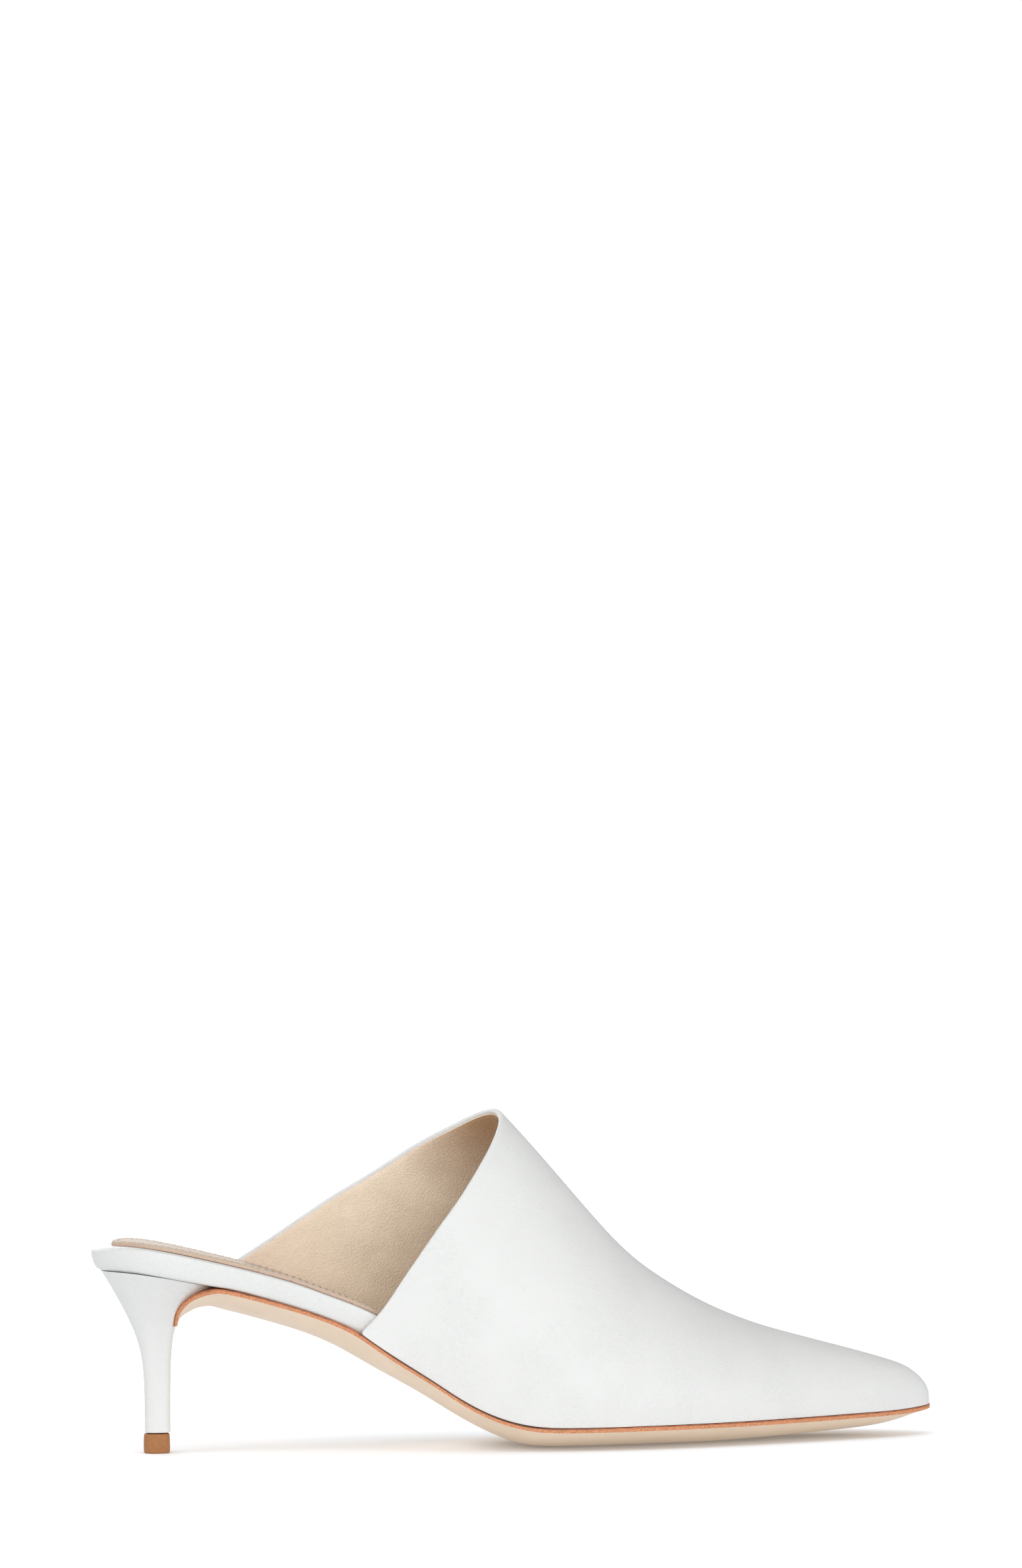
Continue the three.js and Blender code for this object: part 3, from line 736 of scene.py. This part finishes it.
def pebble(length, width, height):
    """A small rounded body at the origin, lying along X."""
    bpy.ops.object.select_all(action="DESELECT")
    bpy.ops.mesh.primitive_uv_sphere_add(segments=8, ring_count=6, radius=0.5)
    made = bpy.context.active_object
    with edit_mode(made):
        bpy.ops.mesh.select_all(action="SELECT")
        bpy.ops.transform.rotate(value=math.pi / 2, orient_axis="Y", center_override=(0, 0, 0))
        bpy.ops.transform.resize(value=(length, width, height), center_override=(0, 0, 0))
    return made


def repeat_along(path, model, step, name):
    """One piece made of a small body, modelled once and copied at even steps along a closed path."""
    total = sum((b - a).length for a, b in zip(path, path[1:]))
    count = round(total / step)
    copies, walked, at = [], 0.0, 0
    for i in range(count):
        wanted = total * i / count
        while walked + (path[at + 1] - path[at]).length < wanted:
            walked += (path[at + 1] - path[at]).length
            at += 1
        along = path[at + 1] - path[at]
        point = path[at] + along * ((wanted - walked) / along.length)
        turned = along.to_track_quat("X", "Z").to_matrix().to_4x4()
        copy = bpy.data.objects.new("copy", model.data.copy())
        copy.data.transform(Matrix.Translation(point) @ turned)
        bpy.context.scene.collection.objects.link(copy)
        copies.append(copy)
    bpy.data.objects.remove(model)
    bpy.ops.object.select_all(action="DESELECT")
    for copy in copies:
        copy.select_set(True)
    bpy.context.view_layer.objects.active = copies[0]
    bpy.ops.object.join()
    copies[0].name = copies[0].data.name = name
    return copies[0]


class MULE_OT_outsole(bpy.types.Operator):
    """Leather outsole with a dyed edge, a dark line of dye along its top and a sealed face"""

    bl_idname = "mule.outsole"
    bl_label = "Outsole"

    def execute(self, context):
        sizes = context.scene.mule_sizes
        colours = context.scene.mule_colours
        piece = cad_copy("outsole", "outsole_leather")
        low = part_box("outsole")[0]
        # The piece's materials in order: 0 is the sealed face, 1 the edge and the top, 2 the line of dye.
        for made in (
            sole_material(colours.sole), sole_edge_material(colours.sole_edge), stain_material(colours.stain)
        ):
            piece.data.materials.append(made)
        ball = low.x + SOLE_BALL
        with edit_mode(piece):
            pick_patch(piece, (ball, low.y, 6 * MM), (0, -1, 0))
            bpy.ops.mesh.inset(thickness=sizes.stain, use_even_offset=True)
            bpy.ops.mesh.select_more()
            piece.active_material_index = 1
            bpy.ops.object.material_slot_assign()
            edge_faces = picked_faces(piece)
            pick_patch(piece, (ball, 0, 8 * MM), (0, 0, 1))
            top_faces = picked_faces(piece)
            bpy.ops.object.material_slot_assign()
            bpy.ops.transform.shrink_fatten(value=SOLE_RISE)
            pick(piece, lambda face: face.index in edge_faces and any(
                other.index in top_faces for edge in face.edges for other in edge.link_faces))
            piece.active_material_index = 2
            bpy.ops.object.material_slot_assign()
        crease(piece, 1.0)
        subdivide(piece, 2)
        finish(piece, [], "sole_leather", "outsole")
        return {"FINISHED"}


# The heel in slices from the bottom up, in millimetres: its height, where it starts and ends along the foot
# from the back of the insole, and half its width.
HEEL_SLICES = (
    (6.1, 15.5, 23.0, 3.9), (6.9, 15.5, 23.0, 3.9), (11.0, 15.5, 23.0, 3.9), (16.7, 15.5, 23.1, 3.9),
    (20.5, 15.4, 23.2, 4.05), (24.3, 15.2, 23.3, 4.3), (27.0, 14.9, 23.4, 4.7), (29.5, 14.5, 23.6, 5.2),
    (32.0, 13.95, 23.8, 5.85), (34.0, 13.3, 24.1, 6.6), (36.3, 12.5, 24.6, 7.6), (38.5, 11.5, 25.4, 8.8),
    (41.0, 10.35, 27.2, 10.7), (43.7, 9.0, 29.8, 13.0), (46.4, 7.5, 33.5, 15.85), (49.2, 6.0, 37.5, 18.6),
    (53.4, 3.4, 42.0, 22.3), (56.6, 1.6, 44.0, 23.6),
)


def heel_blank(back_of_foot):
    """A stem drawn up from a rounded outline, squarer in front than behind, that flares out to the seat."""
    bpy.ops.object.select_all(action="DESELECT")
    bpy.ops.mesh.primitive_circle_add(vertices=40, radius=1, fill_type="NGON")
    piece = bpy.context.active_object
    piece.name = piece.data.name = "heel_cover"
    # Below 1, the power of a circle's co-ordinate makes it squarer.
    front_power, back_power, side_power = 0.5, 0.9, 0.8
    for vert in piece.data.vertices:
        x, y = vert.co.x, vert.co.y
        vert.co.x = math.copysign(abs(x) ** (front_power if x > 0 else back_power), x)
        vert.co.y = math.copysign(abs(y) ** side_power, y)
    with edit_mode(piece):
        bpy.ops.mesh.select_all(action="SELECT")
        bpy.ops.mesh.flip_normals()
        at, reach, wide, tall = 0.0, 1.0, 1.0, 0.0
        for z, back, front, half in HEEL_SLICES:
            if z > HEEL_SLICES[0][0]:
                bpy.ops.mesh.extrude_region_move()
            centre = back_of_foot + (back + front) / 2 * MM
            bpy.ops.transform.translate(value=(centre - at, 0, z * MM - tall))
            at, tall = centre, z * MM
            new_reach, new_wide = (front - back) / 2 * MM, half * MM
            bpy.ops.transform.resize(
                value=(new_reach / reach, new_wide / wide, 1), center_override=(at, 0, tall)
            )
            reach, wide = new_reach, new_wide
        bpy.ops.mesh.select_all(action="SELECT")
        bpy.ops.mesh.normals_make_consistent(inside=False)
    crease(piece, 0.8)
    subdivide(piece, 2)
    return piece


# The underside of the seat from the side, in millimetres: along the foot from the back of the insole, and up.
SEAT = (
    (-6, 54.13), (0, 54.13), (3, 54.04), (6, 53.97), (9, 53.81), (12, 53.51), (15, 53.08), (18, 52.58),
    (21, 52.05), (24, 51.46), (27, 50.83), (30, 50.23), (33, 49.7), (36, 49.18), (39, 48.56), (42, 47.82),
    (48, 46.15),
)


def seat_cutter(back_of_foot):
    """A block whose underside follows the seat's line, to take off all of the heel that is above it."""
    bpy.ops.object.select_all(action="DESELECT")
    bpy.ops.mesh.primitive_grid_add(x_subdivisions=len(SEAT) - 1, y_subdivisions=1, size=80 * MM)
    cutter = bpy.context.active_object
    across = sorted({round(vert.co.x, 6) for vert in cutter.data.vertices})
    for vert in cutter.data.vertices:
        along, up = SEAT[across.index(round(vert.co.x, 6))]
        vert.co.x, vert.co.z = back_of_foot + along * MM, up * MM
    with edit_mode(cutter):
        bpy.ops.mesh.select_all(action="SELECT")
        bpy.ops.mesh.extrude_region_move(TRANSFORM_OT_translate={"value": (0, 0, 20 * MM)})
        bpy.ops.mesh.select_all(action="SELECT")
        bpy.ops.mesh.normals_make_consistent(inside=False)
    return cutter


def flap_cutter():
    """The outsole a little fattened, to cut the front of the heel to the back of its flap."""
    cutter = cad_copy("outsole", "cutter")
    with edit_mode(cutter):
        bpy.ops.mesh.select_all(action="SELECT")
        bpy.ops.transform.shrink_fatten(value=FLAP_AIR)
    crease(cutter, 1.0)
    subdivide(cutter, 2)
    return cutter


def cut(piece, cutter):
    """Takes the cutter out of a piece and clears the cutter away."""
    modifier = piece.modifiers.new("Cut", "BOOLEAN")
    modifier.operation = "DIFFERENCE"
    modifier.solver = "EXACT"
    modifier.object = cutter
    take_up(piece)
    bpy.ops.object.modifier_apply(modifier=modifier.name)
    bpy.data.objects.remove(cutter)


class MULE_OT_heel(bpy.types.Operator):
    """Covered kitten heel, cut to fit under the seat and behind the sole's flap"""

    bl_idname = "mule.heel"
    bl_label = "Heel"

    def execute(self, context):
        back_of_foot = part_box("insole")[0].x
        piece = heel_blank(back_of_foot)
        cut(piece, seat_cutter(back_of_foot))
        cut(piece, flap_cutter())
        white = nappa_material(
            "calf nappa, stretched over the heel", context.scene.mule_colours.nappa, heel_wrinkles
        )
        finish(piece, [white], "upper_leather", "heel")
        return {"FINISHED"}


class MULE_OT_top_piece(bpy.types.Operator):
    """Rubber top piece under the heel"""

    bl_idname = "mule.top_piece"
    bl_label = "Top piece"

    def execute(self, context):
        piece = cad_copy("top_piece", "top_piece_rubber")
        crease(piece, 1.0)
        subdivide(piece, 2)
        rubber = rubber_material(context.scene.mule_colours.rubber)
        finish(piece, [rubber], "top_piece_rubber", "top_piece")
        return {"FINISHED"}


# ---- Stage ------------------------------------------------------------------------------------------------


# Just over full strength, so that the floor and the backdrop stay white at their palest.
PLAIN_WHITE = 1.05


def soft_box(name, at, towards, width, height, watts):
    """A large rectangular light, turned towards a point."""
    light = bpy.data.lights.new(name, "AREA")
    light.shape = "RECTANGLE"
    light.size, light.size_y = width, height
    light.energy = watts
    lamp = bpy.data.objects.new(name, light)
    bpy.context.scene.collection.objects.link(lamp)
    lamp.location = at
    lamp.rotation_euler = (Vector(towards) - Vector(at)).to_track_quat("-Z", "Y").to_euler()


def paper_with_painted_glow(glow):
    """Matt uncoated studio paper with a painted glow, which keeps it white, and painted shadow round the
    shoe.
    """
    material, tree, place, shader = blank("studio paper, painted glow and shadow", 0.9, 0.2)
    clouds = speckle(tree, place, 40)
    white = linear(PAPER)
    tree.links.new(shades(tree, clouds, tinted(white, 0.99), white), shader.inputs["Base Color"])
    shader.inputs["Emission Color"].default_value = (1, 1, 1, 1)
    # The painted glow is full 450 mm from the middle and further out, and weaker round the shoe.
    away = add(tree, "ShaderNodeVectorMath", {0: place}, operation="LENGTH").outputs["Value"]
    painted_glow = between(tree, away, 130 * MM, 450 * MM, glow, PLAIN_WHITE)
    # Painted shadow: ambient occlusion dims the glow under the arch, and close to where the shoe stands to
    # less than a third.
    wide = add(tree, "ShaderNodeAmbientOcclusion", {"Distance": 90 * MM}, samples=16).outputs["AO"]
    near = add(tree, "ShaderNodeAmbientOcclusion", {"Distance": 9 * MM}, samples=16).outputs["AO"]
    painted_glow = math_of(tree, "MULTIPLY", painted_glow, between(tree, wide, 0.5, 0.95, 0.4, 1.0))
    painted_glow = math_of(tree, "MULTIPLY", painted_glow, between(tree, near, 0.1, 0.7, 0.3, 1.0))
    # It lights the shoe far less than it shows.
    seen = add(tree, "ShaderNodeLightPath").outputs["Is Camera Ray"]
    lit = add(tree, "ShaderNodeMix", {0: seen, 2: 0.15, 3: painted_glow}).outputs[0]
    tree.links.new(lit, shader.inputs["Emission Strength"])
    return material


class MULE_OT_stage(bpy.types.Operator):
    """White floor, soft light and the camera"""

    bl_idname = "mule.stage"
    bl_label = "Stage"

    def execute(self, context):
        scene = context.scene
        settings = scene.mule_stage
        bpy.ops.object.select_all(action="DESELECT")
        bpy.ops.mesh.primitive_plane_add(size=30)
        floor = context.active_object
        floor.name = "floor"
        floor.data.materials.append(paper_with_painted_glow(settings.glow))

        world = bpy.data.worlds.new("plain white")
        scene.world = world
        world.use_nodes = True
        tree = world.node_tree
        tree.nodes.clear()
        # The backdrop is plain white to look at, and lights the shoe less than it shows.
        seen = add(tree, "ShaderNodeLightPath").outputs["Is Camera Ray"]
        strength = between(tree, seen, 0, 1, settings.sky, PLAIN_WHITE)
        light = add(tree, "ShaderNodeBackground", {"Color": (1, 1, 1, 1), "Strength": strength})
        add(tree, "ShaderNodeOutputWorld", {"Surface": light.outputs["Background"]})

        soft_box("front", (0.3, -2.4, 0.45), (0, 0, 0.05), 2.4, 0.8, settings.front)
        soft_box("side", (-2.1, -0.7, 1.1), (0, 0, 0.05), 1.4, 1.2, settings.side)
        soft_box("top", (-0.2, -0.9, 2.0), (0, 0, 0), 0.8, 0.8, settings.top)
        soft_box("right", (1.7, -1.5, 0.8), (0, 0, 0.05), 1.0, 1.0, settings.right)
        soft_box("back", (-0.5, 2.3, 0.9), (0, 0, 0.05), 2.0, 0.9, settings.back)

        # 2 m away on the outer side, turned 8 degrees towards the heel, almost level and rolled a little.
        lens = bpy.data.cameras.new("camera")
        camera = bpy.data.objects.new("camera", lens)
        scene.collection.objects.link(camera)
        stand = Vector((-0.277965, -1.977641, 0.154672))
        aim = Vector((0.001269, 0.000181, 0.195662))
        roll = math.radians(-0.8)
        forward = (aim - stand).normalized()
        level = forward.cross(Vector((0, 0, 1))).normalized()
        upright = level.cross(forward)
        right = level * math.cos(roll) + upright * math.sin(roll)
        up = upright * math.cos(roll) - level * math.sin(roll)
        camera.matrix_world = Matrix.Translation(stand) @ Matrix((right, up, -forward)).transposed().to_4x4()
        lens.sensor_fit = "HORIZONTAL"
        lens.sensor_width = 36
        lens.lens = 236.75
        lens.clip_end = 50
        scene.camera = camera
        scene.view_settings.view_transform = "Standard"
        return {"FINISHED"}


class MULE_PT_pieces(bpy.types.Panel):
    """Lists the mule's pieces and the sizes and colours that they are made to"""

    bl_idname = "MULE_PT_pieces"
    bl_label = "Kitten heel mule"
    bl_space_type = "VIEW_3D"
    bl_region_type = "UI"
    bl_category = "Mule"

    def draw(self, context):
        for title, group in (
            ("Sizes", context.scene.mule_sizes),
            ("Colours", context.scene.mule_colours),
            ("Stage", context.scene.mule_stage),
        ):
            box = self.layout.box()
            box.label(text=title)
            for name in group.__annotations__:
                box.prop(group, name)
        for operator in OPERATORS:
            self.layout.operator(operator.bl_idname)


GROUPS = (MuleSizes, MuleColours, MuleStage)
OPERATORS = (
    MULE_OT_upper, MULE_OT_lining, MULE_OT_insole, MULE_OT_sock, MULE_OT_outsole, MULE_OT_heel,
    MULE_OT_top_piece, MULE_OT_stage,
)


def register():
    for made in (*GROUPS, *OPERATORS, MULE_PT_pieces):
        bpy.utils.register_class(made)
    bpy.types.Scene.mule_sizes = PointerProperty(type=MuleSizes)
    bpy.types.Scene.mule_colours = PointerProperty(type=MuleColours)
    bpy.types.Scene.mule_stage = PointerProperty(type=MuleStage)


def unregister():
    for name in ("mule_sizes", "mule_colours", "mule_stage"):
        delattr(bpy.types.Scene, name)
    for made in reversed((*GROUPS, *OPERATORS, MULE_PT_pieces)):
        bpy.utils.unregister_class(made)


def main():
    register()
    for operator in OPERATORS:
        group, name = operator.bl_idname.split(".")
        getattr(getattr(bpy.ops, group), name)()


if __name__ == "__main__":
    main()
